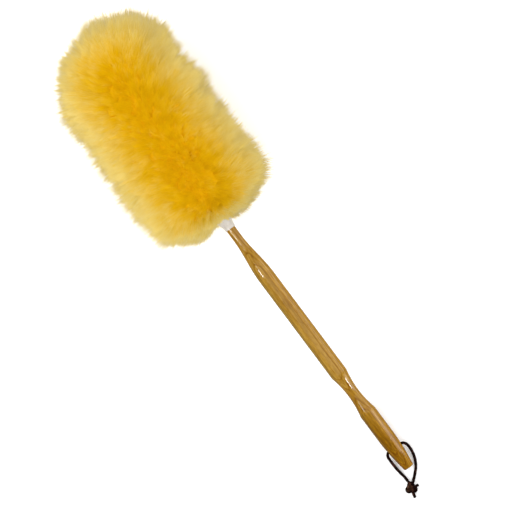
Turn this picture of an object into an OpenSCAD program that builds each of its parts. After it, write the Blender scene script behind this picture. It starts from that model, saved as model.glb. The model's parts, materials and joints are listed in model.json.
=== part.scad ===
// Long-wool wheel brush: a turned wooden handle with a sheepskin head and a leather hanging lace.
//
// Every piece of the brush is drawn along its own axis: distances run along +Z from the butt end
// of the handle to the tip of the head, +X is the side that faces up and +Y is across. lay_down()
// then puts the brush as it lies on a bench: the butt end and the neck side of the wool rest on
// Z = 0, the axis runs along X with the butt at +X, and the origin is under the middle of its box.

/* [Handle] */
// Length of wood from the butt end to the rim of the cuff
grip_len = 305; // [295:1:315]
// Diameter of the straight stock and of the grip
stock_d = 18; // [17:0.5:20]
// Diameter of the butt end
butt_d = 11; // [10:0.5:13]
// Length of the swell from the butt end to the full grip
swell_len = 40; // [36:1:44]
// Diameter of the waist between the grip and the straight stock
waist_d = 12.3; // [11.5:0.1:13.5]
// Distance from the butt end to the waist
waist_at = 95; // [90:1:100]
// Radius of the cove that is turned into the waist
cove_r = 105; // [95:1:115]
// Diameter of the neck where the cuff grips it
neck_d = 10; // [9:0.5:11]
// Length of the taper from the straight stock to the neck
taper_len = 51; // [45:1:56]
// Distance from the butt end to the hole for the lace
hole_at = 25; // [22:1:30]
// Diameter of the hole for the lace
hole_d = 5; // [4:0.5:6]

/* [Head] */
// Radius of the wool, root to tip included
wool_r = 71; // [66:1:76]
// Distance from the rim of the cuff to the tip of the wool
wool_reach = 252; // [240:1:262]
// Distance from the rim of the cuff to the wool's neck face
neck_gap = 10; // [8:1:14]
// Radius of the lip where the wool hangs lowest round the neck
lip_r = 28; // [24:1:34]
// Length over which the wool rounds off at the neck
neck_round = 37; // [30:1:44]
// Length over which the wool rounds off at the tip
tip_round = 63; // [55:1:70]
// Radius of the hide sleeve that the wool grows on
hide_r = 15; // [14:0.5:17]
// Thickness of the hide
hide_t = 1.5; // [1:0.1:2]

/* [Cuff] */
// Thickness of the white leather cuff
cuff_t = 0.8; // [0.6:0.1:1.2]
// How sharply the cuff flares towards the hide sleeve
cuff_flare = 1.7; // [1.4:0.1:2]
// Length of the cuff
cuff_len = 23; // [20:1:26]

/* [Lace] */
// Diameter of the leather lace
lace_d = 2.9; // [2.5:0.1:3.3]
// Diameter of the knot
knot_d = 11.2; // [10:0.2:12]

/* [Pose] */
// Slope of the brush as it lies, with the head higher than the butt end
lie_angle = 8; // [7.5:0.1:8.5]

/* [Hidden] */
$fn = 72;

stock_r = stock_d / 2;
butt_r = butt_d / 2;
neck_r = neck_d / 2;
butt_edge = 1.2;

// Stations along the axis
cove_depth = stock_r - waist_d / 2;
cove_half = sqrt(2 * cove_r * cove_depth - cove_depth * cove_depth);
taper_end = grip_len - 11;
taper_start = taper_end - taper_len;
cuff_end = grip_len + cuff_len;
wool_start = grip_len + neck_gap;
wool_end = grip_len + wool_reach;
band_start = wool_start + neck_round;
band_end = wool_end - tip_round;
band_len = (band_end - band_start) / 3;

// Hidden inner parts; the pile is as long at the tip as it is at the sides
disc_at = wool_end - (wool_r - hide_r) - hide_t;
spindle_end = disc_at - 4;
core_r = hide_r - hide_t;
core_start = grip_len + 6;
washer_t = 1.2;
washer_r = 10;
screw_r = 1.5;
screw_len = 20;
screw_head_r = 3.6;
screw_head_t = 2;
thread_r = 0.35;
thread_inset = 0.65;
thread_groove = 1.2;
glue_gap = 0.05;
stitch_w = 4.6;
stitch_pitch = 5;
ring_stitches = 24;

// ---- Outline of the handle: radius at a distance along it

function smooth(t) = (1 - cos(180 * t)) / 2;
function swell(z) = butt_r + (stock_r - butt_r) * sin(90 * z / swell_len);
function cove(z) = waist_d / 2 + cove_r - sqrt(cove_r * cove_r - pow(z - waist_at, 2));
function taper(z) = stock_r + (neck_r - stock_r) * smooth((z - taper_start) / taper_len);
function steps(a, b, n) = [for (i = [0:n]) a + (b - a) * i / n];

butt_outline = [
    for (a = [0:18:90])
        [swell(butt_edge) - butt_edge + butt_edge * sin(a), butt_edge - butt_edge * cos(a)]
];
handle_outline = concat(
    butt_outline,
    [for (z = steps(3, swell_len, 14)) [swell(z), z]],
    [for (z = steps(waist_at - cove_half, waist_at + cove_half, 20)) [cove(z), z]],
    [for (z = steps(taper_start, taper_end, 22)) [taper(z), z]]
);

// ---- Outline of the cuff and of the wool

function cuff_out(z) = neck_r + cuff_t
    + (hide_r - neck_r - cuff_t) * pow(max(0, z - grip_len) / cuff_len, cuff_flare);
function cuff_in(z) = cuff_out(z) - cuff_t;

neck_outline = [
    for (a = [0:7.5:90])
        [lip_r + (wool_r - lip_r) * sin(a), band_start - neck_round * cos(a)]
];
tip_outline = [for (a = [0:6:90]) [wool_r * cos(a), band_end + tip_round * sin(a)]];

// ---- Where the brush lies

lie_c = cos(lie_angle);
lie_s = sin(lie_angle);
butt_z = max([for (p = handle_outline) p[0] * lie_c - p[1] * lie_s]);
butt_x = (max([for (p = tip_outline) p[1] * lie_c + p[0] * lie_s])
    - max([for (p = handle_outline) p[0] * lie_s - p[1] * lie_c])) / 2;
hole_x = butt_x - hole_at * lie_c;
hole_z = butt_z + hole_at * lie_s;

module lay_down() {
    translate([butt_x, 0, butt_z]) rotate([0, lie_angle - 90, 0]) children();
}

// ---- Route of the lace, measured from the middle of its hole, in the brush's lying position

bight_half = 6;
knot_at = [43, -10.8, knot_d / 2 - hole_z];
left_route = [
    [0, -6, 0], [0, -6.8, 0], [0.4, -8.2, -0.1], [1.6, -9.8, -0.6], [3.8, -11, -1.6], [7, -11.3, -3.1],
    [11, -11.3, -4.9], [15, -11.3, -6.4], [19, -11.1, -7.2], [24, -10.5, -7.3],
    [30, -9.6, -6.8], [37.3, -9.4, -4.6]
];
right_route = [
    [0, 6, 0], [0, 7, 0], [0.4, 8.6, -0.1], [1.6, 10.6, -0.6], [3.8, 12.1, -1.6], [7, 12.7, -3.1],
    [11, 12.6, -4.9], [15, 12, -6.4], [19, 10.9, -7.2], [23, 9.2, -7.3], [27, 6.8, -7.3],
    [30.5, 3.9, -7.2], [33.5, 0.7, -6.7], [36.5, -2.6, -5.8], [39.4, -6, -4.7]
];
long_tail = [[48.3, -12.3, -5], [53.2, -13.7, -6.8]];
short_tail = [[44.3, -5.2, -2.3], [44.9, -2.9, -2]];

// ---- Helpers

function unit(v) = v / norm(v);
function heading(path, i) =
    unit(path[min(i + 1, len(path) - 1)] - path[max(i - 1, 0)]);
function across(t) = unit(cross(abs(t[2]) < 0.9 ? [0, 0, 1] : [1, 0, 0], t));
function ring(path, i, r, sides) =
    let (t = heading(path, i), u = across(t), v = cross(t, u))
    [for (k = [0:sides - 1]) path[i] + r * (cos(360 * k / sides) * u + sin(360 * k / sides) * v)];

// A tube swept through a list of points, closed at both ends
module tube(path, d, sides = 8) {
    rings = len(path);
    points = [for (i = [0:rings - 1]) each ring(path, i, d / 2, sides)];
    walls = [
        for (i = [0:rings - 2], k = [0:sides - 1])
            let (n = (k + 1) % sides)
            [i * sides + k, (i + 1) * sides + k, (i + 1) * sides + n, i * sides + n]
    ];
    start = [for (k = [0:sides - 1]) k];
    finish = [for (k = [sides - 1:-1:0]) (rings - 1) * sides + k];
    polyhedron(points, concat([start], walls, [finish]), convexity = 6);
}

// A straight rod between two points
module rod(a, b, d) {
    v = b - a;
    translate(a)
        rotate([0, acos(v[2] / norm(v)), atan2(v[1], v[0])])
            cylinder(d = d, h = norm(v));
}

// A solid of revolution from an outline of [radius, distance] points
module turned(outline) {
    rotate_extrude() polygon(outline);
}

module along(z) {
    translate([0, 0, z]) children();
}

// A hollow band of wool between two distances, cut flat where it lies on the bench
module wool_band(outline, inner) {
    difference() {
        lay_down() turned(concat(outline, inner));
        translate([-2 * wool_end, -wool_end, -wool_r]) cube([4 * wool_end, 2 * wool_end, wool_r]);
    }
}

module body_band(i) {
    low = band_start + i * band_len;
    high = low + band_len;
    wool_band([[wool_r, low], [wool_r, high]], [[hide_r, high], [hide_r, low]]);
}

// A ring of whip stitches round the inside of the hide, from one distance to another
module ring_seam(from, to, r) {
    for (i = [0:ring_stitches - 1])
        rotate(360 * i / ring_stitches) translate([r, 0, from]) cylinder(r = thread_r, h = to - from);
}

// The lace's own frame: the middle of its hole
module at_hole() {
    translate([hole_x, 0, hole_z]) children();
}

// ---- Handle

module handle() {
    color("peru") lay_down() difference() {
        turned(concat([[0, 0]], handle_outline, [[neck_r, spindle_end], [0, spindle_end]]));
        along(hole_at) rotate([90, 0, 0]) cylinder(d = hole_d, h = 2 * stock_d, center = true);
        along(spindle_end - screw_len) cylinder(r = screw_r, h = screw_len + 1);
    }
}

// ---- Cuff

module neck_cuff() {
    stations = steps(grip_len, cuff_end, 12);
    color("white") lay_down() turned(concat(
        [for (z = stations) [cuff_out(z), z]],
        [for (i = [len(stations) - 1:-1:0]) [cuff_in(stations[i]), stations[i]]]
    ));
}

module cuff_seam_thread() {
    color("ivory") lay_down() for (i = [0:4])
        translate([-cuff_out(grip_len + 2 + 2.4 * i), 0, grip_len + 2 + 2.4 * i])
            rotate([90, 0, 0]) cylinder(r = thread_r, h = 2.6, center = true);
}

// ---- Core

module core_sleeve() {
    nose = steps(core_start, cuff_end, 8);
    color("lightgray") lay_down() difference() {
        turned(concat(
            [[neck_r, core_start]],
            [for (z = nose) [min(cuff_in(z) - glue_gap, core_r), z]],
            [[core_r, spindle_end], [neck_r, spindle_end]]
        ));
        translate([-core_r - 1, -stitch_w / 2 - 0.3, cuff_end + 2])
            cube([1 + thread_groove, stitch_w + 0.6, spindle_end]);
        along(cuff_end - 1.4) difference() {
            cylinder(r = hide_r, h = 4);
            along(-1) cylinder(r = core_r - thread_groove, h = 6);
        }
    }
}

module core_washer() {
    color("silver") lay_down() along(spindle_end) difference() {
        cylinder(r = washer_r, h = washer_t);
        along(-1) cylinder(r = screw_r, h = washer_t + 2);
    }
}

module core_screw() {
    color("gray") lay_down() {
        along(spindle_end - screw_len) cylinder(r = screw_r, h = screw_len + washer_t);
        along(spindle_end + washer_t) cylinder(r = screw_head_r, h = screw_head_t);
    }
}

// ---- Hide

module hide_sleeve() {
    color("wheat") lay_down() along(cuff_end) difference() {
        cylinder(r = hide_r, h = disc_at - cuff_end);
        along(-1) cylinder(r = core_r, h = disc_at - cuff_end + 2);
    }
}

module hide_tip_disc() {
    color("wheat") lay_down() along(disc_at) cylinder(r = hide_r, h = hide_t);
}

module sleeve_seam_thread() {
    x = -core_r + thread_inset;
    first = cuff_end + 7;
    count = floor((spindle_end - first) / stitch_pitch);
    color("ivory") lay_down() {
        for (i = [0:count - 1])
            translate([x, 0, first + i * stitch_pitch])
                rotate([90, 0, 0]) cylinder(r = thread_r, h = stitch_w, center = true);
        translate([x, 0, first]) cylinder(r = thread_r, h = (count - 1) * stitch_pitch);
    }
}

module neck_seam_thread() {
    color("ivory") lay_down() ring_seam(cuff_end - 1, cuff_end + 2.2, core_r - thread_inset);
}

module tip_seam_thread() {
    color("ivory") lay_down() ring_seam(spindle_end + 1.5, disc_at, core_r - thread_inset);
}

// ---- Wool: one pile, in bands that each are convex outside

module wool_neck() {
    color("gold") wool_band(neck_outline, [[hide_r, band_start], [hide_r, wool_start + 6]]);
}

module wool_lower() {
    color("goldenrod") body_band(0);
}

module wool_middle() {
    color("gold") body_band(1);
}

module wool_upper() {
    color("goldenrod") body_band(2);
}

module wool_tip() {
    color("gold") lay_down() turned(concat(
        tip_outline,
        [[0, disc_at + hide_t], [hide_r, disc_at + hide_t], [hide_r, band_end]]
    ));
}

// ---- Lace

module lace_bight() {
    color("sienna") at_hole() rotate([90, 0, 0]) cylinder(d = lace_d, h = 2 * bight_half, center = true);
}

module lace_strand_left() {
    color("saddlebrown") at_hole() tube(left_route, lace_d);
}

module lace_strand_right() {
    color("saddlebrown") at_hole() tube(right_route, lace_d);
}

module lace_knot() {
    color("maroon") at_hole() translate(knot_at) sphere(d = knot_d);
}

module lace_tail_long() {
    color("sienna") at_hole() rod(long_tail[0], long_tail[1], lace_d);
}

module lace_tail_short() {
    color("sienna") at_hole() rod(short_tail[0], short_tail[1], lace_d);
}

handle();
neck_cuff();
cuff_seam_thread();
core_sleeve();
core_washer();
core_screw();
hide_sleeve();
hide_tip_disc();
sleeve_seam_thread();
neck_seam_thread();
tip_seam_thread();
wool_neck();
wool_lower();
wool_middle();
wool_upper();
wool_tip();
lace_bight();
lace_strand_left();
lace_strand_right();
lace_knot();
lace_tail_long();
lace_tail_short();
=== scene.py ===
import json
import math

import bpy
import numpy as np
from mathutils import Matrix
from mathutils.kdtree import KDTree


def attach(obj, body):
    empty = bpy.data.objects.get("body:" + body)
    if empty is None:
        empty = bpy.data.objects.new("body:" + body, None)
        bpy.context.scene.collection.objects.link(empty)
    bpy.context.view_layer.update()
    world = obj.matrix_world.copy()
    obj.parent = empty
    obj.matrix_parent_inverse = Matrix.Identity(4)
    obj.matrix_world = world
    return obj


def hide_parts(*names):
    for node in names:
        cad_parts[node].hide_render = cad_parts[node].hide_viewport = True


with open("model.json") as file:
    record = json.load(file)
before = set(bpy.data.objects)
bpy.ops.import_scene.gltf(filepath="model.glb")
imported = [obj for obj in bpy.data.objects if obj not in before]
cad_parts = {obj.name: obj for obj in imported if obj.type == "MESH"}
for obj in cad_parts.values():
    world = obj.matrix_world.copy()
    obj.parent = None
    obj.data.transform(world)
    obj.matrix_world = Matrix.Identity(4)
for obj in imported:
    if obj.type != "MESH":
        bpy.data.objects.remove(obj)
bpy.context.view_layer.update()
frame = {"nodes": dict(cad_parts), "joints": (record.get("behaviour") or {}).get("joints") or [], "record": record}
MM = 0.001

# ---------------------------------------------------------------- the brush's own axes
# Distances run from the butt end to the tip of the wool, as they do in the CAD model.

LIE = math.radians(8.0)
HOLE_FROM_BUTT = 25.0
TO_HEAD = np.array([-math.cos(LIE), 0.0, math.sin(LIE)])
UP = np.array([math.sin(LIE), 0.0, math.cos(LIE)])
ACROSS = np.array([0.0, 1.0, 0.0])
HOLE = np.array(frame["joints"][0]["pos_m"])
BUTT = HOLE - HOLE_FROM_BUTT * MM * TO_HEAD


def at(d, up=0.0, across=0.0):
    """The point in the row frame at a distance from the butt and beside the axis, all in millimetres."""
    d, up, across = (np.asarray(v, float)[..., None] * MM for v in (d, up, across))
    return BUTT + d * TO_HEAD + up * UP + across * ACROSS


# ---------------------------------------------------------------- camera

VIEW_WIDTH = 0.524  # metres that the picture spans at the brush
DISTANCE = 2.6
SENSOR = 36.0
AIM_FROM_BUTT, AIM_ACROSS = 267.0, 4.1
SLANT = math.radians(53.2)  # how steeply the brush's axis runs in the picture


def make_camera():
    """Looks square on to the brush's axis, from above, with the butt at the lower right."""
    right = -math.cos(SLANT) * TO_HEAD + math.sin(SLANT) * ACROSS
    top = math.sin(SLANT) * TO_HEAD + math.cos(SLANT) * ACROSS
    place = at(AIM_FROM_BUTT, 0.0, AIM_ACROSS) + DISTANCE * UP
    data = bpy.data.cameras.new("camera")
    data.sensor_width = SENSOR
    data.lens = SENSOR * DISTANCE / VIEW_WIDTH
    camera = bpy.data.objects.new("camera", data)
    turn = Matrix((right, top, UP)).transposed().to_4x4()
    camera.matrix_world = Matrix.Translation(place) @ turn
    bpy.context.scene.collection.objects.link(camera)
    bpy.context.scene.camera = camera


make_camera()


# ---------------------------------------------------------------- mesh helpers

TUBE_SIDES = 14
TUBE_REFERENCE = (0.3, 0.2, 1.0)  # a direction that no tube starts along


def link(name, mesh, material, body):
    """Puts a mesh in the scene as a piece of the object, with smooth faces."""
    piece = bpy.data.objects.new(name, mesh)
    bpy.context.scene.collection.objects.link(piece)
    mesh.materials.append(material)
    mesh.polygons.foreach_set("use_smooth", np.full(len(mesh.polygons), True))
    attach(piece, body)
    return piece


def new_mesh(name, points, corners, sides, uvs=None, normals=None):
    """A mesh from arrays: points, the corners of all faces in a row, and how many corners each has."""
    mesh = bpy.data.meshes.new(name)
    mesh.vertices.add(len(points))
    mesh.vertices.foreach_set("co", np.ascontiguousarray(points, np.float32).ravel())
    mesh.loops.add(len(corners))
    mesh.loops.foreach_set("vertex_index", np.ascontiguousarray(corners, np.int32))
    mesh.polygons.add(len(sides))
    starts = np.concatenate([[0], np.cumsum(sides)[:-1]])
    mesh.polygons.foreach_set("loop_start", starts.astype(np.int32))
    if uvs is not None:
        layer = mesh.uv_layers.new(name="OFBake")
        layer.data.foreach_set("uv", np.ascontiguousarray(uvs, np.float32).ravel())
    mesh.update(calc_edges=True)
    if normals is not None:
        held = mesh.attributes.new("custom_normal", "FLOAT_VECTOR", "POINT")
        held.data.foreach_set("vector", np.ascontiguousarray(normals, np.float32).ravel())
    return mesh


def grid_faces(rows, columns, wrap_rows=False):
    """Quads between rows of points, each row closed on itself."""
    steps = rows if wrap_rows else rows - 1
    i, k = np.meshgrid(np.arange(steps), np.arange(columns), indexing="ij")
    i, k = i.ravel(), k.ravel()
    j, n = (i + 1) % rows, (k + 1) % columns
    return np.stack([i * columns + k, i * columns + n, j * columns + n, j * columns + k], axis=1)


def capped_mesh(name, points, rows, columns):
    """A closed skin of rows of points, with a flat cap at each end."""
    quads = grid_faces(rows, columns)
    caps = [np.arange(columns)[::-1], (rows - 1) * columns + np.arange(columns)]
    corners = np.concatenate([quads.ravel(), *caps])
    return new_mesh(name, points, corners, [4] * len(quads) + [columns] * 2)


def smooth_path(points, per_span):
    """A smooth line through given points (Catmull-Rom)."""
    p = np.asarray(points, float)
    p = np.vstack([2 * p[0] - p[1], p, 2 * p[-1] - p[-2]])
    t = np.arange(per_span)[:, None] / per_span
    spans = [
        0.5 * (2 * b + (c - a) * t + (2 * a - 5 * b + 4 * c - d) * t**2 + (3 * b - a - 3 * c + d) * t**3)
        for a, b, c, d in zip(p, p[1:], p[2:], p[3:])
    ]
    return np.vstack(spans + [p[-2:-1]])


def unit(v):
    return v / np.maximum(np.linalg.norm(v, axis=-1, keepdims=True), 1e-12)


def tube_mesh(name, path, radii, flat):
    """A closed tube along a path in the row frame. flat flattens its section, as a cut thong is."""
    ahead = unit(np.gradient(path, axis=0))
    side = unit(np.cross(ahead[0], TUBE_REFERENCE))
    turn = np.linspace(0, 2 * np.pi, TUBE_SIDES, endpoint=False)
    rings = []
    for p, t, r in zip(path, ahead, radii):
        side = unit(side - (side @ t) * t)
        other = np.cross(t, side)
        wide = r * np.outer(np.cos(turn), side) * (1 + flat)
        rings.append(p + wide + r * np.outer(np.sin(turn), other) * (1 - flat))
    return capped_mesh(name, np.vstack(rings), len(rings), TUBE_SIDES)


def lathe_mesh(name, outline, columns, shape):
    """A closed ring-shaped skin about the brush's axis, from a closed outline of (distance, radius)."""
    turn = np.linspace(0, 2 * np.pi, columns, endpoint=False)
    rows = []
    for d, r in outline:
        radius = shape(d, r, turn)
        rows.append(at(np.full(columns, d), radius * np.cos(turn), radius * np.sin(turn)))
    quads = grid_faces(len(rows), columns, wrap_rows=True)
    return new_mesh(name, np.vstack(rows), quads.ravel(), [4] * len(quads))


# ---------------------------------------------------------------- materials

class Look:
    """A Principled material whose nodes are added one by one."""

    def __init__(self, name, color, roughness, **inputs):
        self.material = bpy.data.materials.new(name)
        self.material.use_nodes = True
        self.tree = self.material.node_tree
        self.shader = self.tree.nodes["Principled BSDF"]
        self.material.diffuse_color = (*color, 1)
        self.set("Base Color", (*color, 1))
        self.set("Roughness", roughness)
        for key, value in inputs.items():
            self.set(key.replace("_", " "), value)

    def set(self, socket, value):
        self.shader.inputs[socket].default_value = value

    def node(self, kind, values=None, **settings):
        made = self.tree.nodes.new("ShaderNode" + kind)
        for key, value in settings.items():
            setattr(made, key, value)
        for key, value in (values or {}).items():
            made.inputs[key].default_value = value
        return made

    def join(self, source, target):
        self.tree.links.new(source, target)

    def place(self):
        """The row frame's coordinates."""
        return self.node("TexCoord").outputs["Object"]

    def mapped(self, place, scale=(1, 1, 1), turn=(0, 0, 0), move=(0, 0, 0)):
        made = self.node("Mapping", {"Scale": scale, "Rotation": turn, "Location": move})
        self.join(place, made.inputs["Vector"])
        return made.outputs["Vector"]

    def split(self, vector):
        made = self.node("SeparateXYZ")
        self.join(vector, made.inputs["Vector"])
        return made.outputs

    def math(self, operation, a, b):
        made = self.node("Math", operation=operation)
        for value, socket in ((a, made.inputs[0]), (b, made.inputs[1])):
            if isinstance(value, (int, float)):
                socket.default_value = value
            else:
                self.join(value, socket)
        return made.outputs[0]

    def noise(self, place, scale, detail=3.0, roughness=0.55, distortion=0.0):
        made = self.node("TexNoise", {"Scale": scale, "Detail": detail, "Roughness": roughness,
                                      "Distortion": distortion})
        self.join(place, made.inputs["Vector"])
        return made.outputs["Fac"]

    def streaks(self, place, along, across, *settings):
        """Noise drawn out along the first axis: its scale along that axis and across it."""
        return self.noise(self.mapped(place, (along, across, across)), 1.0, *settings)

    def ramp(self, source, stops):
        made = self.node("ValToRGB")
        points = made.color_ramp.elements
        while len(points) < len(stops):
            points.new(0.5)
        for point, (where, color) in zip(points, stops):
            point.position = where
            point.color = (*color, 1)
        self.join(source, made.inputs["Fac"])
        return made.outputs["Color"]

    def mix(self, factor, a, b, blend="MIX"):
        made = self.node("Mix", data_type="RGBA", blend_type=blend)
        for value, socket in ((factor, made.inputs[0]), (a, made.inputs[6]), (b, made.inputs[7])):
            if isinstance(value, (int, float)):
                socket.default_value = value
            elif isinstance(value, tuple):
                socket.default_value = (*value, 1)
            else:
                self.join(value, socket)
        return made.outputs[2]

    def shaded(self, tone, source, stops):
        """A tone multiplied by a ramp over a source."""
        return self.mix(1.0, tone, self.ramp(source, stops), "MULTIPLY")

    def span(self, source, low, high, to_low=0.0, to_high=1.0):
        made = self.node("MapRange", {"From Min": low, "From Max": high, "To Min": to_low, "To Max": to_high})
        self.join(source, made.inputs["Value"])
        return made.outputs["Result"]

    def bump(self, height, strength, distance):
        made = self.node("Bump", {"Strength": strength, "Distance": distance})
        self.join(height, made.inputs["Height"])
        self.join(made.outputs["Normal"], self.shader.inputs["Normal"])

    def color(self, source):
        self.join(source, self.shader.inputs["Base Color"])

    def rough(self, source):
        self.join(source, self.shader.inputs["Roughness"])


AS_IT_IS = (1.0, 1.0, 1.0)  # a shade that changes nothing
RING = 1.7  # millimetres between growth rings
PITH_UP, PITH_ACROSS = -46.0, 14.0  # the tree's middle, from the handle's own axis
WAVINESS, WAVER = 0.6, 0.25  # how far the rings wander slowly and quickly, in millimetres
GRIP_DARK = (35.0, 115.0)  # the wood darkens toward the butt between these distances
GRIP_DARK_SIDE = 4.0  # and more on one side, across this far to either side of the middle
# Painted light and shade: the handle is painted darker and greyer at one edge and paler at the other.
PAINTED_SIDE_REACH = 9.0  # the whole handle goes from dark to pale across this far to either side


def growth_ring(look, level):
    """How far through its growth ring each place is, from 0 to 1."""
    pith = float(BUTT @ UP) + PITH_UP * MM
    around = look.split(look.mapped(level, move=(0, -PITH_ACROSS * MM, -pith)))
    wander = look.span(look.streaks(level, 9, 34, 2.0), 0, 1, -WAVINESS * MM, WAVINESS * MM)
    waver = look.span(look.streaks(level, 40, 260, 3.0), 0, 1, -WAVER * MM, WAVER * MM)
    across = look.math("MULTIPLY", around["Y"], around["Y"])
    up = look.math("MULTIPLY", around["Z"], around["Z"])
    radius = look.math("POWER", look.math("ADD", across, up), 0.5)
    radius = look.math("ADD", look.math("ADD", radius, wander), waver)
    return look.math("FRACT", look.math("DIVIDE", radius, RING * MM), 0)


def wood():
    """Lacquered straight-grained hardwood: growth rings about a far pith, fine fibres and short pores, with
    painted light and shade across it.
    """
    look = Look("lacquered_wood", (0.34, 0.17, 0.015), 0.42, Coat_Weight=1.0, Coat_Roughness=0.05)
    look.set("Specular IOR Level", 0.0)
    level = look.mapped(look.place(), turn=(0, -LIE, 0))
    tone = look.ramp(growth_ring(look, level), [
        (0.0, (0.335, 0.190, 0.028)), (0.5, (0.32, 0.176, 0.023)), (0.8, (0.295, 0.15, 0.013)),
        (0.89, (0.165, 0.066, 0.002)), (0.95, (0.305, 0.16, 0.017)), (1.0, (0.335, 0.190, 0.028)),
    ])
    fibres = look.streaks(level, 26, 480, 4.0, 0.65)
    broad = look.streaks(level, 7, 110, 2.0)
    mottle = look.streaks(level, 150, 520, 3.0, 0.6)
    pores = look.streaks(level, 55, 1000, 2.0)
    tone = look.shaded(tone, fibres, [(0.3, (0.72, 0.66, 0.48)), (0.7, (1.10, 1.14, 1.3))])
    tone = look.shaded(tone, broad, [(0.3, (0.88, 0.84, 0.70)), (0.7, (1.10, 1.10, 1.2))])
    tone = look.shaded(tone, mottle, [(0.3, (0.82, 0.79, 0.68)), (0.7, (1.12, 1.13, 1.15))])
    tone = look.mix(look.span(pores, 0.58, 0.70, 0.0, 0.8), tone, (0.15, 0.05, 0.002))

    along = look.split(level)
    butt = float(-(BUTT @ TO_HEAD))
    grip = look.span(along["X"], butt - GRIP_DARK[1] * MM, butt - GRIP_DARK[0] * MM, 0.0, 1.0)
    tone = look.shaded(tone, grip, [(0.0, AS_IT_IS), (1.0, (0.90, 0.81, 0.5))])
    figure = look.streaks(level, 80, 560, 4.0, 0.7, 0.4)
    figured = look.ramp(figure, [(0.36, (0.70, 0.66, 0.52)), (0.62, (1.28, 1.32, 1.45))])
    tone = look.mix(grip, tone, figured, "MULTIPLY")
    # Painted light and shade: one side of the handle painted paler, as its lit side, the other edge darker and
    # greyer.
    to_painted_lit_side = look.span(along["Y"], -PAINTED_SIDE_REACH * MM, PAINTED_SIDE_REACH * MM)
    tone = look.shaded(tone, to_painted_lit_side, [
        (0.06, (0.80, 0.90, 0.97)), (0.2, (0.98, 0.99, 1.0)), (0.55, AS_IT_IS), (0.75, (1.26, 1.28, 1.28)),
    ])
    # The grip is darker and deeper in colour on one side.
    to_grip_dark_side = look.span(along["Y"], -GRIP_DARK_SIDE * MM, GRIP_DARK_SIDE * MM, 1.0, 0.0)
    grip_dark_side = look.math("MULTIPLY", grip, to_grip_dark_side)
    look.color(look.shaded(tone, grip_dark_side, [(0.0, AS_IT_IS), (1.0, (0.70, 0.62, 0.08))]))
    look.rough(look.span(fibres, 0.3, 0.7, 0.36, 0.5))
    look.bump(fibres, 0.05, 0.0004)
    return look.material


def white_leather():
    """The cuff's chalky leather, with soft darker and lighter patches and a fine grain."""
    look = Look("white_leather", (0.52, 0.49, 0.46), 0.72, Sheen_Weight=0.15, Sheen_Roughness=0.5)
    grain = look.noise(look.place(), 900.0, 5.0, 0.6)
    soft_patches = look.noise(look.place(), 160.0, 3.0)
    patchy = look.ramp(soft_patches, [(0.3, (0.42, 0.395, 0.37)), (0.7, (0.60, 0.57, 0.54))])
    grained = look.ramp(grain, [(0.35, (0.40, 0.375, 0.34)), (0.65, (0.64, 0.61, 0.58))])
    look.color(look.mix(0.35, patchy, grained))
    look.bump(grain, 0.35, 0.0004)
    return look.material


HIGHLIGHT_REACH = 4.6  # millimetres from the middle of the painted highlight to its edge


def painted_brown_highlight(look, tone, grain, wear_and_highlight, middle):
    """Painted highlight: a dark tone that turns brown in patches round one place on the knot, where it would catch
    the light.
    """
    reach = HIGHLIGHT_REACH * MM
    patch = look.node("TexGradient", gradient_type="SPHERICAL")
    about_middle = look.mapped(look.place(), (1 / reach,) * 3, move=tuple(-middle / reach))
    look.join(about_middle, patch.inputs["Vector"])
    brown = look.ramp(grain, [(0.3, (0.046, 0.019, 0.009)), (0.7, (0.098, 0.044, 0.022))])
    near = look.span(patch.outputs["Fac"], 0.05, 0.6)
    share = look.math("MULTIPLY", near, look.span(wear_and_highlight, 0.36, 0.6, 0.15, 1.0))
    return look.mix(share, tone, brown)


def brown_leather(name, highlight_at=None):
    """A dark cut leather thong with lighter brown patches all over, partly wear and partly painted highlight, and
    a painted brown highlight about one place if it has one.
    """
    look = Look(name, (0.007, 0.002, 0.0014), 0.33)
    look.set("Specular IOR Level", 0.03)
    grain = look.noise(look.place(), 1500.0, 4.0, 0.6)
    # Wear and painted highlight: lighter brown patches all over the lace.
    wear_and_highlight = look.noise(look.place(), 240.0, 2.0)
    wear_and_highlight_tone = look.ramp(wear_and_highlight, [
        (0.35, (0.003, 0.0008, 0.0005)), (0.54, (0.007, 0.002, 0.0014)), (0.66, (0.08, 0.028, 0.018)),
    ])
    grained = look.ramp(grain, [(0.3, (0.002, 0.0006, 0.0004)), (0.7, (0.012, 0.004, 0.003))])
    tone = look.mix(0.4, wear_and_highlight_tone, grained)
    if highlight_at is not None:
        tone = painted_brown_highlight(look, tone, grain, wear_and_highlight, highlight_at)
    look.color(tone)
    look.rough(look.span(grain, 0.3, 0.7, 0.24, 0.42))
    look.bump(grain, 0.4, 0.0003)
    return look.material


def hide_skin():
    look = Look("hide_skin", (0.70, 0.57, 0.36), 0.85)
    grain = look.noise(look.place(), 700.0, 5.0)
    look.color(look.ramp(grain, [(0.3, (0.60, 0.46, 0.27)), (0.7, (0.76, 0.64, 0.43))]))
    look.bump(grain, 0.3, 0.0004)
    return look.material


def foam():
    look = Look("foam", (0.6, 0.6, 0.58), 0.9)
    cells = look.node("TexVoronoi", {"Scale": 900.0})
    look.join(look.place(), cells.inputs["Vector"])
    look.color(look.ramp(cells.outputs["Distance"], [(0.1, (0.42, 0.42, 0.40)), (0.6, (0.66, 0.66, 0.64))]))
    look.bump(cells.outputs["Distance"], 0.4, 0.0005)
    return look.material


def thread():
    look = Look("thread", (0.75, 0.71, 0.60), 0.7)
    twist = look.node("TexWave", {"Scale": 420.0, "Distortion": 0.4}, bands_direction="DIAGONAL")
    look.join(look.place(), twist.inputs["Vector"])
    look.color(look.ramp(twist.outputs["Fac"], [(0.0, (0.55, 0.50, 0.38)), (1.0, (0.82, 0.78, 0.68))]))
    look.bump(twist.outputs["Fac"], 0.5, 0.0002)
    return look.material


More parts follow.
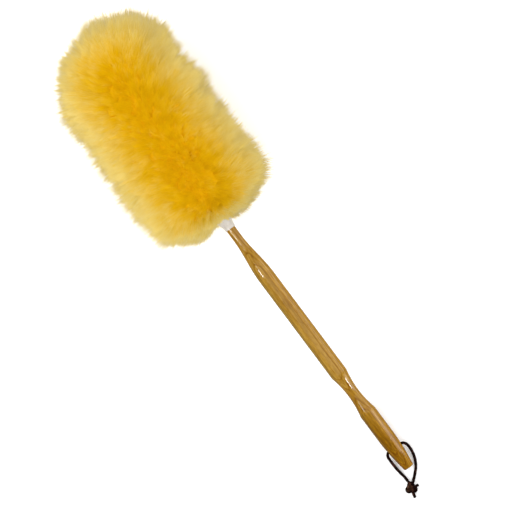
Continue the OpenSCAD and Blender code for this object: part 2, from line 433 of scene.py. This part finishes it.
def zinc_steel():
    look = Look("zinc_steel", (0.55, 0.56, 0.58), 0.3, Metallic=1.0)
    spangle = look.noise(look.place(), 420.0, 3.0)
    look.color(look.ramp(spangle, [(0.3, (0.45, 0.46, 0.48)), (0.7, (0.66, 0.67, 0.69))]))
    look.rough(look.span(spangle, 0.3, 0.7, 0.24, 0.42))
    return look.material


# Wool: each lock's place along its length is its map's V, from root to tip, and U is how pale the lock is painted,
# from amber to straw: painted light as a pale rim on the flanks, painted shade on the uppermost side, and random
# tone.
AMBER = ((0.0, (0.75, 0.395, 0.0)), (0.6, (0.775, 0.435, 0.0)), (1.0, (0.81, 0.485, 0.0)))
STRAW = (
    (0.0, (0.78, 0.455, 0.004)), (0.5, (0.83, 0.565, 0.04)),
    (0.8, (0.86, 0.65, 0.155)), (1.0, (0.90, 0.74, 0.32)),
)
# Painted shade: locks of lowest U, on the uppermost side, are painted darker, with random tone.
AMBER_TO = 0.3  # locks below this are all amber, and differ only in how dark they are


def wool():
    look = Look("wool", STRAW[1][1], 0.75, Sheen_Weight=1.0, Sheen_Roughness=0.32)
    look.set("Sheen Tint", (1.0, 0.87, 0.5, 1))
    look.set("Specular IOR Level", 0.03)
    lock = look.split(look.node("UVMap", uv_map="OFBake").outputs["UV"])
    amber, straw = look.ramp(lock["Y"], AMBER), look.ramp(lock["Y"], STRAW)
    # Painted light and shade: U mixes amber into straw for the painted pale rim, and darkens the locks of lowest
    # U.
    amber_to_painted_pale_rim = look.mix(look.span(lock["X"], AMBER_TO, 1.0), amber, straw)
    look.color(look.shaded(amber_to_painted_pale_rim, lock["X"], [(0.0, (0.84, 0.78, 0.6)), (AMBER_TO, AS_IT_IS)]))
    return look.material


def underwool():
    look = Look("underwool", AMBER[0][1], 1.0)
    look.set("Specular IOR Level", 0.0)
    strands = look.noise(look.place(), 260.0, 5.0, 0.7, 0.6)
    clumps = look.noise(look.place(), 60.0, 3.0)
    look.color(look.mix(0.5, look.ramp(strands, [(0.3, (0.66, 0.34, 0.002)), (0.7, (0.78, 0.45, 0.004))]),
                        look.ramp(clumps, [(0.3, (0.68, 0.36, 0.002)), (0.7, (0.78, 0.44, 0.004))])))
    look.bump(strands, 0.6, 0.002)
    return look.material


LOOKS = {
    "lacquered_wood": wood(),
    "white_leather": white_leather(),
    "brown_leather": brown_leather("brown_leather"),
    "hide_skin": hide_skin(),
    "foam": foam(),
    "thread": thread(),
    "zinc_steel": zinc_steel(),
    "wool": wool(),
}


def dress_cad_nodes():
    """Every CAD node takes its slot's material; the soft ones are replaced further on."""
    slots = {s["node"]: s["material_slot"] for s in frame["record"]["subparts"]}
    for name, node in frame["nodes"].items():
        node.data.materials.clear()
        node.data.materials.append(LOOKS[slots[name]])


dress_cad_nodes()


# ---------------------------------------------------------------- cuff

CUFF_START, CUFF_END = 305.0, 328.0
CUFF_THICK = 0.8
NECK_R, HIDE_R = 5.0, 15.0
CUFF_FLARE = 1.7
CUFF_ROWS, CUFF_COLUMNS = 40, 96
RIM_POINTS, RIM_TUCK = 9, 0.1
RIM_TURN = (0.15, math.pi - 0.15)  # the part of a half circle that the rolled rim takes
RIPPLE_DEPTH = 0.22
RIPPLE_FROM, RIPPLE_FULL = 1.5, 9.5  # distances from the rim where ripples start and are full
RIPPLES = ((5, 0.15, 0.0, 0.6), (9, -0.3, 1.0, 0.4))  # waves round the cuff, twist, start and share


def rippled(d, r, turn):
    """The cuff's radius round it, where its leather ripples."""
    depth = RIPPLE_DEPTH * np.clip((d - CUFF_START - RIPPLE_FROM) / (RIPPLE_FULL - RIPPLE_FROM), 0, 1)
    waves = sum(share * np.sin(count * turn + twist * d + start) for count, twist, start, share in RIPPLES)
    return r - depth * (1 + waves) / 2


def make_cuff():
    """The soft white leather cuff: it flares, ripples a little, and its rim is rolled smooth."""
    stations = np.linspace(CUFF_START, CUFF_END, CUFF_ROWS)
    rise = np.clip((stations - CUFF_START) / (CUFF_END - CUFF_START), 0, 1) ** CUFF_FLARE
    outer = NECK_R + CUFF_THICK + (HIDE_R - NECK_R - CUFF_THICK) * rise
    half = CUFF_THICK / 2
    rim = [
        (CUFF_START - RIM_TUCK + half * (1 - math.sin(a)), NECK_R + half * (1 - math.cos(a)))
        for a in np.linspace(*RIM_TURN, RIM_POINTS)
    ]
    outline = rim + list(zip(stations[2:], outer[2:])) + list(zip(stations[:1:-1], outer[:1:-1] - CUFF_THICK))
    mesh = lathe_mesh("neck_cuff_leather", outline, CUFF_COLUMNS, rippled)
    cuff = link("neck_cuff_leather", mesh, LOOKS["white_leather"], "brush")
    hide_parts("neck_cuff")


make_cuff()


# ---------------------------------------------------------------- lace
# The routes are measured from the middle of the hole, in millimetres, and repeat the CAD model's.

LACE_D = 2.9
LACE_FLAT = 0.07
UNEVEN, UNEVEN_STEP = 0.04, 0.9  # its width comes and goes by this share, and this far at each ring
CUT_END = 0.8  # a cut end is this share as wide
STEPS_PER_SPAN = 6
THROUGH = [(0, 6, 0), (0, 3, 0), (0, 0, 0), (0, -3, 0)]
LEFT_ROUTE = [
    (0, -6, 0), (0, -6.8, 0), (0.4, -8.2, -0.1), (1.6, -9.8, -0.6), (3.8, -11, -1.6), (7, -11.3, -3.1),
    (11, -11.3, -4.9), (15, -11.3, -6.4), (19, -11.1, -7.2), (24, -10.5, -7.3),
    (30, -9.6, -6.8), (37.3, -9.4, -4.6),
]
RIGHT_ROUTE = [
    (0, 6, 0), (0, 7, 0), (0.4, 8.6, -0.1), (1.6, 10.6, -0.6), (3.8, 12.1, -1.6), (7, 12.7, -3.1),
    (11, 12.6, -4.9), (15, 12, -6.4), (19, 10.9, -7.2), (23, 9.2, -7.3), (27, 6.8, -7.3),
    (30.5, 3.9, -7.2), (33.5, 0.7, -6.7), (36.5, -2.6, -5.8), (39.4, -6, -4.7),
]
LONG_TAIL = [(45.5, -11.4, -3.9), (48.3, -12.3, -5.0), (50.8, -13.0, -6.4), (53.2, -13.7, -6.9)]
SHORT_TAIL = [(43.6, -8.2, -2.9), (44.3, -5.2, -2.3), (44.9, -2.9, -2.0)]

KNOT = np.array([43.0, -10.8, 5.6 - HOLE[2] / MM])
KNOT_HIGHLIGHT = np.array([-1.5, -2.0, 3.0])  # the middle of its painted highlight, from the knot's middle
KNOT_POINTS = 90
KNOT_REACH, KNOT_HEIGHT = 1.62, 1.05
KNOT_STRAND, KNOT_FLAT = 0.70, 0.05  # its strand's radius, in diameters of the lace


def from_hole(points):
    return HOLE + np.asarray(points, float) * MM


def lace_piece(name, route, nodes, end=1.0):
    """A length of lace along a route. end narrows its last ring, as a cut end is."""
    path = from_hole(smooth_path(route, STEPS_PER_SPAN))
    radii = np.full(len(path), LACE_D / 2 * MM)
    radii *= 1 + UNEVEN * np.sin(np.arange(len(path)) * UNEVEN_STEP)
    radii[-1] *= end
    mesh = tube_mesh(name, path, radii, LACE_FLAT)
    piece = link(name, mesh, LOOKS["brown_leather"], "hang_loop")
    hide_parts(*nodes)
    return piece, path


def make_knot():
    """An overhand knot drawn tight: a trefoil turned to lie flat."""
    turn = np.linspace(0, 2 * np.pi, KNOT_POINTS + 1)[:-1]
    trefoil = KNOT_REACH * np.stack([
        np.sin(turn) + 2 * np.sin(2 * turn),
        np.cos(turn) - 2 * np.cos(2 * turn),
        -KNOT_HEIGHT * np.sin(3 * turn),
    ], axis=1)
    path = from_hole(trefoil + KNOT)
    path = np.vstack([path, path[:1]])
    radii = np.full(len(path), KNOT_STRAND * LACE_D * MM)
    mesh = tube_mesh("lace_overhand_knot", path, radii, KNOT_FLAT)
    # Painted highlight: the knot turns brown in patches round one place.
    leather = brown_leather("leather_painted_highlight", from_hole(KNOT + KNOT_HIGHLIGHT))
    knot = link("lace_overhand_knot", mesh, leather, "hang_loop")
    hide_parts("lace_knot")
    return knot


def make_lace():
    left, left_path = lace_piece("lace_left", THROUGH + LEFT_ROUTE, ["lace_bight", "lace_strand_left"])
    right, right_path = lace_piece("lace_right", RIGHT_ROUTE, ["lace_strand_right"])
    long_tail, _ = lace_piece("lace_long_tail", LONG_TAIL, ["lace_tail_long"], end=CUT_END)
    short_tail, _ = lace_piece("lace_short_tail", SHORT_TAIL, ["lace_tail_short"], end=CUT_END)
    knot = make_knot()


make_lace()


# ---------------------------------------------------------------- wool: numbers

# Distances and radii in millimetres. The collar is where the wool meets the cuff, and the lip is
# where it hangs lowest round it.
WOOL_R = 71.0
COLLAR, LIP = (317.5, 11.5), (315.0, 28.0)
BAND_START, BAND_END, WOOL_END = 352.0, 494.0, 557.0
HIDE_START, HIDE_END = 329.0, 500.0
NECK_HIDE, TIP_HIDE = 25.0, 20.0  # lengths of hide that the neck's and the tip's wool grow from
TIP_TURNED = 0.4  # this share of the tip's wool grows round the hide, and the rest on its end
COLLAR_ROWS, NECK_ROWS, BODY_ROWS, TIP_ROWS = 20, 61, 120, 121

LOCKS = 130_000
TUFTS = 5200
CLUMPS = 620
SEED = 11
GOLDEN = (0.7548776662466927, 0.5698402909980532)  # steps that spread places evenly in two directions
TURN_JITTER = 0.004

# Slow swellings and dents of the outline: distance, turn, reach along and around, and height.
LUMPS = [
    (343, 90, 26, 50, 2.0),
    (480, 90, 18, 45, -3.0),
    (457, 85, 13, 40, 4.5),
    (332, -90, 14, 50, -1.0),
    (382, -90, 22, 50, 2.5),
    (464, -90, 14, 40, -3.0),
    (535, -90, 30, 60, -3.0),
    (530, 90, 30, 60, 1.0),
]
TIP_DRIFT = 7.0
TIP_RISE, TIP_RISE_REACH = 4.5, 16.0

# The neck's wool hangs toward the handle at both sides, and more so at one of them.
NECK_DROP, DROP_MIDDLE, DROP_REACH = 4.0, 33.0, 12.0
DROP_NARROWING, DROP_UNEVEN = 1.5, 0.3

FLOOR = 0.4
SOFTNESS = 2.2
PUSHED_OUT = 0.35  # how much of what the floor presses up goes sideways too
WIDEST, EDGE = 84.5, 1.0  # long locks bend back before this far to either side

# How the wool lies, in millimetres at the tips.
COMB, COMB_WAVES = 4.5, (14, 90, 40)
CURL, CURL_WAVES = 2.4, (20, 30, 14)
TUFT_LEAN = 1.6
CLUMP_LEAN = 1.5
CLUMP_GATHER = 0.12
LOOSE = 1.6
GATHER = (0.15, 0.65)
CRIMP = (0.4, 1.3)
CRIMP_WAVES, CRIMP_LOOSE = 2.1, 0.6
FREE_LENGTH = 56.0  # shorter locks stray less

# Lengths are shares of the way from a lock's root to the wool's outline.
MEAN_LENGTH = 1.015
LENGTH_SPREAD, SPREAD_SHAPE = 0.17, 1.6
TUFT_LENGTH = 0.038
CLUMP_LENGTH = 0.026
WISP = 0.026
STRAY, STRAY_REACH, STRAY_WIDTH = 0.2, 0.12, 0.6  # how many, how much longer and how thin
SHORTEST, LONGEST = 0.75, 1.15

# Each lock's rings: their places, as shares of its length, and their radii in millimetres.
RINGS = np.array([0.40, 0.56, 0.70, 0.82, 0.92])
RADII = np.array([0.50, 0.46, 0.36, 0.25, 0.14])
LOCK_WIDTH = (0.7, 1.2)
SIDE_TONES = (-0.012, 0.0, 0.012)

# Painted light and shade: locks are painted pale on the flanks, as a rim lit through the wool, and deep amber
# on the side that lies uppermost, as painted shade. These say how pale locks are there and on the flanks, and how
# steeply a lock has to stand for each.
FACES_UP = np.array([0.0, 1.0, 0.0])
FLANK_NONE, FLANK_FULL, FLANK_EASE = 0.97, 0.42, 0.8
LEAST_PALE, MOST_PALE = 0.17, 0.98
# Painted shade: locks near the neck are painted a little deeper.
NECK_PALE, PALE_NECK_END = -0.05, 350.0
# Painted light: locks near the cuff are painted paler, as the white cuff glowing through the thin wool.
COLLAR_PALE, PALE_COLLAR_END = 0.75, 328.0
WISP_PALE, WISP_FROM = 3.0, 1.03  # long fine locks let the light through
TUFT_TONE, CLUMP_TONE, LOCK_TONE = 0.07, 0.6, 0.06
TONE_LIMITS = (0.02, 0.98)

# Which way a lock's surface is taken to face: mostly the way that the wool's outside does there.
OWN_NORMAL = 0.3
TUFT_NORMAL = 0.034
NECK_TURN = 0.5
LOWEST_NORMAL = -0.15  # the underside glows with the light that comes through

UNDERWOOL = 0.67  # its share of the way from the hide to the outline
UNDERWOOL_AT_LIP, UNDERWOOL_RISE = 0.4, 10.0  # less of it at the lip, and all of it this far on
UNDERWOOL_ROUGH, UNDERWOOL_WAVES = 0.03, (24, 16, 7)
UNDERWOOL_ROWS, UNDERWOOL_COLUMNS = 110, 150

# Each CAD band: where it starts and ends, and how many pieces its locks are shared among.
BAND_THIRD = (BAND_END - BAND_START) / 3
BANDS = {
    "wool_neck": (0.0, BAND_START, 3),
    "wool_lower": (BAND_START, BAND_START + BAND_THIRD, 4),
    "wool_middle": (BAND_START + BAND_THIRD, BAND_END - BAND_THIRD, 4),
    "wool_upper": (BAND_END - BAND_THIRD, BAND_END, 4),
    "wool_tip": (BAND_END, math.inf, 6),
}


# ---------------------------------------------------------------- wool: its outline

def line(distances, radii):
    """Rows of (distance, radius)."""
    return np.stack(np.broadcast_arrays(distances, radii), 1)


def meridian():
    """The wool's outline and the root that each place on it grows from: distance and radius of both."""
    neck = np.radians(np.linspace(0, 90, NECK_ROWS))[:-1]
    body = np.linspace(BAND_START, BAND_END, BODY_ROWS)[:-1]
    tip = np.radians(np.linspace(0, 90, TIP_ROWS))
    outer = np.concatenate([
        np.linspace(COLLAR, LIP, COLLAR_ROWS)[:-1],
        line(BAND_START - (BAND_START - LIP[0]) * np.cos(neck), LIP[1] + (WOOL_R - LIP[1]) * np.sin(neck)),
        line(body, WOOL_R),
        line(BAND_END + (WOOL_END - BAND_END) * np.sin(tip), WOOL_R * np.cos(tip)),
    ])
    hide_middle = (HIDE_START + NECK_HIDE, HIDE_END - TIP_HIDE)
    turned = tip / (np.pi / 2)
    root = np.concatenate([
        line(np.full(COLLAR_ROWS - 1, HIDE_START), HIDE_R),
        line(HIDE_START + NECK_HIDE * neck / (np.pi / 2), HIDE_R),
        line(np.interp(body, [BAND_START, BAND_END], hide_middle), HIDE_R),
        line(np.interp(turned, [0, TIP_TURNED], [HIDE_END - TIP_HIDE, HIDE_END]),
             np.interp(turned, [TIP_TURNED, 1], [HIDE_R, 0])),
    ])
    return outer, root


def even_places(count, rng):
    """Places spread evenly over the wool's outside: tip and root as (distance, radius), and the turn."""
    outer, root = meridian()
    area = np.linalg.norm(np.diff(outer, axis=0), axis=1) * (outer[1:, 1] + outer[:-1, 1]) / 2
    along = np.concatenate([[0], np.cumsum(area)]) / area.sum()
    i = np.arange(count)
    u = (0.5 + i * GOLDEN[0]) % 1
    turn = 2 * np.pi * ((0.5 + i * GOLDEN[1]) % 1) + rng.normal(0, TURN_JITTER, count)
    tip = np.stack([np.interp(u, along, outer[:, k]) for k in (0, 1)], 1)
    base = np.stack([np.interp(u, along, root[:, k]) for k in (0, 1)], 1)
    return tip, base, turn


def solid(places, turn):
    """(distance, radius) and a turn as (distance, up, across)."""
    return np.stack([places[:, 0], places[:, 1] * np.cos(turn), places[:, 1] * np.sin(turn)], 1)


def lump(d, turn):
    """How far the wool's outline stands proud, in millimetres."""
    height = np.zeros_like(d)
    for middle, facing, reach, spread, rise in LUMPS:
        off = (np.degrees(turn) - facing + 180) % 360 - 180
        height += rise * np.exp(-((d - middle) / reach) ** 2 - (off / spread) ** 2)
    return height


def outline(places, turn):
    """Places on the plain outline, as (distance, up, across), moved by its lumps and the tip's drift."""
    d, r = places.T
    raised = d + TIP_RISE * np.exp(-(r / TIP_RISE_REACH) ** 2) * (d > BAND_END)
    sides = np.abs(np.sin(turn)) ** DROP_NARROWING * (1 - DROP_UNEVEN * np.sin(turn))
    raised -= NECK_DROP * sides * np.exp(-((r - DROP_MIDDLE) / DROP_REACH) ** 2) * (d < BAND_START)
    lumpy = np.stack([raised, r + lump(d, turn) * np.clip(r / WOOL_R, 0, 1)], 1)
    moved = solid(lumpy, turn)
    moved[:, 2] += TIP_DRIFT * np.clip((d - BAND_END) / (WOOL_END - BAND_END), 0, 1)
    return moved


def outside(count, rng):
    """Roots and tips spread over the wool, as (distance, up, across), and each tip's place and turn."""
    tip, base, turn = even_places(count, rng)
    return solid(base, turn), outline(tip, turn), tip, turn


def rest_on_floor(points):
    """Wool that would sink into the floor bends out sideways and lies on it."""
    z = points[..., 2] / MM
    eased = FLOOR + SOFTNESS * np.logaddexp(0, (z - FLOOR) / SOFTNESS)
    pressed = eased - z
    y = points[..., 1] / MM + np.sign(points[..., 1]) * pressed * PUSHED_OUT
    spare = EDGE * np.logaddexp(0, (WIDEST - np.abs(y)) / EDGE)
    points[..., 1] = np.sign(y) * (WIDEST - spare) * MM
    points[..., 2] = eased * MM
    return points


# ---------------------------------------------------------------- wool: locks

def swirl(rng, waves, longest, shortest):
    """A smooth random flow over the wool's outside that gathers nowhere, from waves of those lengths."""
    length = rng.uniform(shortest, longest, waves)
    pull = unit(rng.normal(size=(waves, 3)))
    phase = rng.uniform(0, 2 * np.pi, waves)

    def flow(p, out):
        moved = np.zeros_like(p)
        for k, size, start in zip(pull, length, phase):
            moved += np.sin(p @ k * 2 * np.pi / size + start)[:, None] * np.cross(out, k)
        return moved / math.sqrt(waves / 3)

    return flow


def ripple(rng, waves, longest, shortest):
    """A smooth random height between about -1 and 1, from waves of those lengths in millimetres."""
    pull = unit(rng.normal(size=(waves, 3))) * 2 * np.pi / rng.uniform(shortest, longest, (waves, 1))
    phase = rng.uniform(0, 2 * np.pi, waves)
    return lambda p: np.sin(p @ pull.T + phase).sum(1) / math.sqrt(waves / 2)


def nearest(points, centres):
    tree = KDTree(len(centres))
    for i, p in enumerate(centres):
        tree.insert(p, i)
    tree.balance()
    return np.array([tree.find(p)[1] for p in points])


def tufts(rng):
    """Each tuft's tip, lean, extra length and tone, which it shares in part with its clump."""
    root, tip, _, _ = outside(TUFTS, rng)
    _, clump, _, _ = outside(CLUMPS, rng)
    own = nearest(tip, clump)
    out = unit(tip - root)
    comb, curl = swirl(rng, *COMB_WAVES), swirl(rng, *CURL_WAVES)
    lean = COMB * comb(tip, out) + CURL * curl(tip, out) + rng.normal(0, TUFT_LEAN, tip.shape)
    lean += rng.normal(0, CLUMP_LEAN, clump.shape)[own]
    lean += (clump[own] - tip) * CLUMP_GATHER
    lean -= (lean * out).sum(1, keepdims=True) * out
    length = rng.normal(0, TUFT_LENGTH, TUFTS) + rng.normal(0, CLUMP_LENGTH, CLUMPS)[own]
    tone = rng.normal(0, 1, TUFTS) + CLUMP_TONE * rng.normal(0, 1, CLUMPS)[own]
    return tip, lean, length, tone


def near_neck(where):
    """From 0 on the body of the wool to 1 at its lip."""
    return np.clip((PALE_NECK_END - where) / (PALE_NECK_END - LIP[0]), 0, 1)


def painted_light_paleness(out, where, length):
    """How pale a lock is painted, by how steeply it stands, how near the cuff it is and its length: painted light
    on the flanks, near the cuff and on long locks, and painted shade near the neck.
    """
    flank = 1 - np.clip((out @ FACES_UP - FLANK_FULL) / (FLANK_NONE - FLANK_FULL), 0, 1)
    pale = LEAST_PALE + (MOST_PALE - LEAST_PALE) * flank**FLANK_EASE
    pale += NECK_PALE * near_neck(where)
    pale += COLLAR_PALE * np.clip((PALE_COLLAR_END - where) / (PALE_COLLAR_END - COLLAR[0]), 0, 1)
    pale += WISP_PALE * flank * np.clip(length - WISP_FROM, 0, None)
    return pale


def facing_out(out, lean, where):
    """The way that the wool's outside is taken to face at each lock."""
    facing = out + TUFT_NORMAL * lean
    facing[:, 0] -= NECK_TURN * near_neck(where)
    facing[:, 1] = np.maximum(facing[:, 1], LOWEST_NORMAL)
    return unit(facing)


def lock_lines(rng):
    """The locks' centre lines: (lock, ring, point), the tip last.

    With them come each lock's width, shade, facing, distance from the butt and turn.
    """
    root, end, place, turn = outside(LOCKS, rng)
    where = place[:, 0]
    tuft, tuft_lean, tuft_length, tuft_tone = tufts(rng)
    own = nearest(end, tuft)
    lean = tuft_lean[own]

    gather = rng.uniform(*GATHER, (LOCKS, 1))
    stray = rng.random(LOCKS) < STRAY
    gather[stray] = 0
    length = MEAN_LENGTH + tuft_length[own] - rng.beta(SPREAD_SHAPE, SPREAD_SHAPE, LOCKS) * LENGTH_SPREAD
    length += rng.exponential(WISP, LOCKS)
    length[stray] += rng.uniform(0, STRAY_REACH, stray.sum())
    length = np.clip(length, SHORTEST, LONGEST)[:, None]

    full = end - root
    out = unit(full)
    slack = np.minimum(1, np.linalg.norm(full, axis=1, keepdims=True) / FREE_LENGTH)
    to_tuft = (tuft[own] - end) * gather
    crimp_side = unit(np.cross(out, rng.normal(size=(TUFTS, 3))[own]))
    crimp_phase = rng.uniform(0, 2 * np.pi, TUFTS)[own] + rng.normal(0, CRIMP_LOOSE, LOCKS)
    crimp_size = rng.uniform(*CRIMP, TUFTS)[own][:, None]
    jitter = rng.normal(0, LOOSE, (LOCKS, 3))

    lines = []
    for t in np.append(RINGS, 1.0):
        s = t * length
        wave = np.sin(2 * np.pi * t * CRIMP_WAVES + crimp_phase)[:, None]
        bend = (lean + jitter) * s**2 + to_tuft * s**3 + crimp_side * crimp_size * wave * s
        lines.append(root + full * s + bend * slack)

    pale = painted_light_paleness(out, where, length[:, 0])
    pale += TUFT_TONE * tuft_tone[own] + rng.normal(0, LOCK_TONE, LOCKS)
    width = np.where(stray, STRAY_WIDTH, 1.0)
    facing = facing_out(out, lean + to_tuft, where)
    return np.stack(lines, 1), width, np.clip(pale, *TONE_LIMITS), facing, where, turn


def lock_rings(lines, width, facing, rng):
    """Three-sided rings round each centre line, and the way that each of their points faces.

    A point faces mostly the way the wool's outside does there, so the pile takes light as one soft body.
    """
    count = len(lines)
    ahead = unit(lines[:, -1] - lines[:, 0])
    side = unit(np.cross(ahead, rng.normal(size=(count, 3))))
    other = np.cross(ahead, side)
    width = rng.uniform(*LOCK_WIDTH, (count, 1, 1, 1)) * width[:, None, None, None]
    turn = np.arange(3) * 2 * np.pi / 3
    star = side[:, None] * np.cos(turn)[:, None] + other[:, None] * np.sin(turn)[:, None]
    rings = lines[:, :-1, None, :] + width * RADII[None, :, None, None] * star[:, None]
    faces = unit(facing[:, None] + OWN_NORMAL * star)
    return rings, lines[:, -1], faces


def lock_mesh(name, rings, tips, faces, facing, shade):
    """All the locks of one piece as closed three-sided tapers, with their map."""
    count, rows = rings.shape[:2]
    normals = np.concatenate([np.tile(faces, (1, rows, 1)), facing[:, None]], 1).reshape(-1, 3)
    normals = normals[:, :1] * TO_HEAD + normals[:, 1:2] * UP + normals[:, 2:] * ACROSS
    each = rows * 3 + 1
    points = np.concatenate([rings.reshape(count, rows * 3, 3), tips[:, None]], 1)
    points = at(points[..., 0], points[..., 1], points[..., 2])
    points = rest_on_floor(points.reshape(-1, 3))
    quads = grid_faces(rows, 3)
    last = (rows - 1) * 3
    point = np.array([[last + k, last + (k + 1) % 3, rows * 3] for k in range(3)])
    one = np.concatenate([quads.ravel(), point.ravel(), [2, 1, 0]])
    corners = (np.arange(count)[:, None] * each + one).ravel()
    sides = np.tile([4] * len(quads) + [3] * 4, count)

    place = np.append(np.repeat((RINGS - RINGS[0]) / (1 - RINGS[0]), 3), 1.0)
    v = np.tile(place[one], count)
    spread = np.append(np.tile(SIDE_TONES, rows), 0.0)
    u = (shade[:, None] + spread[one]).ravel()
    return new_mesh(name, points, corners, sides, np.stack([u, v], 1), normals)


def make_locks():
    """The locks of each band, as pieces that each take a share of the way round."""
    rng = np.random.default_rng(SEED)
    lines, width, shade, facing, where, turn = lock_lines(rng)
    rings, tips, faces = lock_rings(lines, width, facing, rng)
    for band, (low, high, panels) in BANDS.items():
        inside = (where >= low) & (where < high)
        panel = (turn / (2 * np.pi) * panels).astype(int) % panels
        for k in range(panels):
            mine = np.flatnonzero(inside & (panel == k))
            name = f"{band}_locks_{k + 1}"
            mesh = lock_mesh(name, rings[mine], tips[mine], faces[mine], facing[mine], shade[mine])
            piece = link(name, mesh, LOOKS["wool"], "brush")
            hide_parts(band)
            piece.visible_shadow = False


def make_underwool():
    """The dense wool under the locks' tips, as one closed lumpy skin."""
    outer, root = meridian()
    rows, columns = UNDERWOOL_ROWS, UNDERWOOL_COLUMNS
    pick = np.linspace(0, len(outer) - 1, rows)
    along = np.stack([np.interp(pick, np.arange(len(outer)), outer[:, k]) for k in (0, 1)], 1)
    base = np.stack([np.interp(pick, np.arange(len(root)), root[:, k]) for k in (0, 1)], 1)
    turn = np.linspace(0, 2 * np.pi, columns, endpoint=False)
    places, turns = np.repeat(along, columns, 0), np.tile(turn, rows)
    roots = np.repeat(base, columns, 0)
    end, start = outline(places, turns), solid(roots, turns)
    rough = ripple(np.random.default_rng(SEED + 1), *UNDERWOOL_WAVES)(end)[:, None]
    rise = np.interp(places[:, 0], [LIP[0], LIP[0] + UNDERWOOL_RISE], [UNDERWOOL_AT_LIP, 1.0])
    points = start + (end - start) * (UNDERWOOL * rise[:, None] + UNDERWOOL_ROUGH * rough)
    points = rest_on_floor(at(points[:, 0], points[:, 1], points[:, 2]))
    mesh = capped_mesh("underwool", points, rows, columns)
    link("underwool", mesh, underwool(), "brush")


make_underwool()
make_locks()


# ---------------------------------------------------------------- floor, light and finish

FLOOR_SIZE, FLOOR_GLOW = 12.0, 0.16
SURROUND = 0.75
MIRRORED_ROOM, MIRRORED_TABLE = 0.06, 0.2
HORIZON = 0.1  # the mirrored table fades into the mirrored room from this far below level to above it

# Each lamp: the distance from the butt that it aims at, the way that it stands from there and how
# far, its length and width in metres, and its power in watts.
BROAD_LAMPS = {
    "key": (400.0, UP - 0.85 * ACROSS + 0.12 * TO_HEAD, 2.2, 2.2, 2.2, 43),
    "fill": (400.0, UP + 1.0 * ACROSS, 2.2, 2.2, 2.2, 29),
}
SPARKLES = {
    "sparkle": (292.0, UP - 0.8 * ACROSS, 0.5, 0.07, 0.045, 0.34),
    "far_sparkle": (85.0, UP - 0.62 * ACROSS + 0.24 * TO_HEAD, 1.8, 0.38, 0.1, 2.43),
}
GLINTS = {
    "glint_low": (107.0, UP + 0.7 * ACROSS - 0.24 * TO_HEAD, 0.62, 0.08, 0.032, 0.0013),
    "glint": (107.0, UP + 0.7 * ACROSS - 0.35 * TO_HEAD, 0.62, 0.08, 0.032, 0.0013),
    "glint_high": (107.0, UP + 0.7 * ACROSS - 0.46 * TO_HEAD, 0.62, 0.08, 0.032, 0.0013),
}
SHEETS = {
    "overhead": (230.0, UP + 0.15 * ACROSS, 0.5, 0.3, 0.8, 0.5),
    "grip_sheet": (-62.0, UP + 1.2 * ACROSS, 0.6, 0.2, 0.45, 0.57),
    "sheet": (60.0, UP + 3.0 * ACROSS, 1.3, 0.9, 0.8, 3.6),
}
WIDE, NARROW = 180.0, 8.0  # how far a lamp's light spreads, in degrees


def make_floor():
    look = Look("floor", (0.93, 0.93, 0.93), 0.9, Emission_Color=(1, 1, 1, 1), Emission_Strength=FLOOR_GLOW)
    bpy.ops.mesh.primitive_plane_add(size=FLOOR_SIZE, location=(0, 0, 0))
    floor = bpy.context.object
    floor.name = "floor"
    floor.data.materials.append(look.material)
    floor.visible_glossy = False


def area_light(name, aim, toward, distance, length, width, power, mirror, spread):
    """A soft light that faces a point, with its length along the brush.

    The lacquer reflects mirror lights and no others, and they light nothing else.
    """
    toward = unit(toward)
    data = bpy.data.lights.new(name, "AREA")
    data.shape = "RECTANGLE"
    data.size, data.size_y = length, width
    data.energy = power
    data.spread = math.radians(spread)
    light = bpy.data.objects.new(name, data)
    across = unit(np.cross(toward, TO_HEAD))
    turn = Matrix((np.cross(across, toward), across, toward)).transposed().to_4x4()
    light.matrix_world = Matrix.Translation(at(aim) + distance * toward) @ turn
    light.visible_camera = False
    light.visible_glossy = mirror
    light.visible_diffuse = not mirror
    bpy.context.scene.collection.objects.link(light)


def make_world():
    """An even white surround. In the lacquer it is a light room over a dark table."""
    world = bpy.data.worlds.new("world")
    world.use_nodes = True
    tree = world.node_tree
    back = tree.nodes["Background"]
    back.inputs["Color"].default_value = (1, 1, 1, 1)
    where = tree.nodes.new("ShaderNodeTexCoord")
    split = tree.nodes.new("ShaderNodeSeparateXYZ")
    ray = tree.nodes.new("ShaderNodeLightPath")
    mirrored = tree.nodes.new("ShaderNodeMapRange")
    level = tree.nodes.new("ShaderNodeMapRange")
    for socket, value in (("From Min", -HORIZON), ("From Max", HORIZON),
                          ("To Min", MIRRORED_TABLE), ("To Max", MIRRORED_ROOM)):
        mirrored.inputs[socket].default_value = value
    level.inputs["To Min"].default_value = SURROUND
    tree.links.new(where.outputs["Generated"], split.inputs["Vector"])
    tree.links.new(split.outputs["Z"], mirrored.inputs["Value"])
    tree.links.new(ray.outputs["Is Glossy Ray"], level.inputs["Value"])
    tree.links.new(mirrored.outputs["Result"], level.inputs["To Max"])
    tree.links.new(level.outputs["Result"], back.inputs["Strength"])
    bpy.context.scene.world = world


def make_light():
    """Broad light from both sides, and lamps that are only there for the lacquer to reflect."""
    for lamps, mirror, spread in ((BROAD_LAMPS, False, WIDE), (SPARKLES, True, WIDE),
                                  (GLINTS, True, NARROW), (SHEETS, True, WIDE)):
        for name, settings in lamps.items():
            area_light(name, *settings, mirror, spread)
    make_world()
    bpy.context.scene.view_settings.view_transform = "Standard"


make_floor()
make_light()
